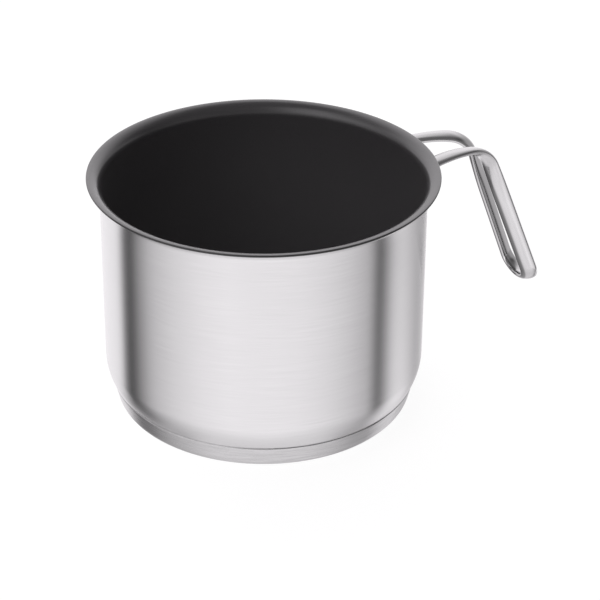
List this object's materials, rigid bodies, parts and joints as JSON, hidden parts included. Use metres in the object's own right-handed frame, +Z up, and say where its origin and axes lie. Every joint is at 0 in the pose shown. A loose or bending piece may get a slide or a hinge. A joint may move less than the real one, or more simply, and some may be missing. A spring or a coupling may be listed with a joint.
{
  "type": "milk pan",
  "caption": "Tall round milk pan with straight sides, a flared pouring rim, a dark non-stick inside, a thick capsule base and a loop handle bent from one oval bar.",
  "frame": {"origin": "on the pot's axis, in the plane that the base rests on", "axes": "+Z up along the pot's axis; +X towards the handle, in the pan's middle plane"},
  "size_m": [0.2204, 0.1526, 0.1088],
  "materials": {
    "pot_steel": "satin, fine lines turned round the wall",
    "nonstick_skin": "satin dark grey non-stick",
    "cap_steel": "satin, turned round the side",
    "core_aluminium": "raw, pressed",
    "handle_steel": "satin, brushed along the bar",
    "weld_steel": "brushed-over weld"
  },
  "bodies": {
    "root": {"pot_body": "pot_steel", "nonstick_coating": "nonstick_skin", "base_cap": "cap_steel", "base_core": "core_aluminium", "handle_loop": "handle_steel", "handle_weld_right": "weld_steel", "handle_weld_left": "weld_steel"}
  },
  "joints": []
}
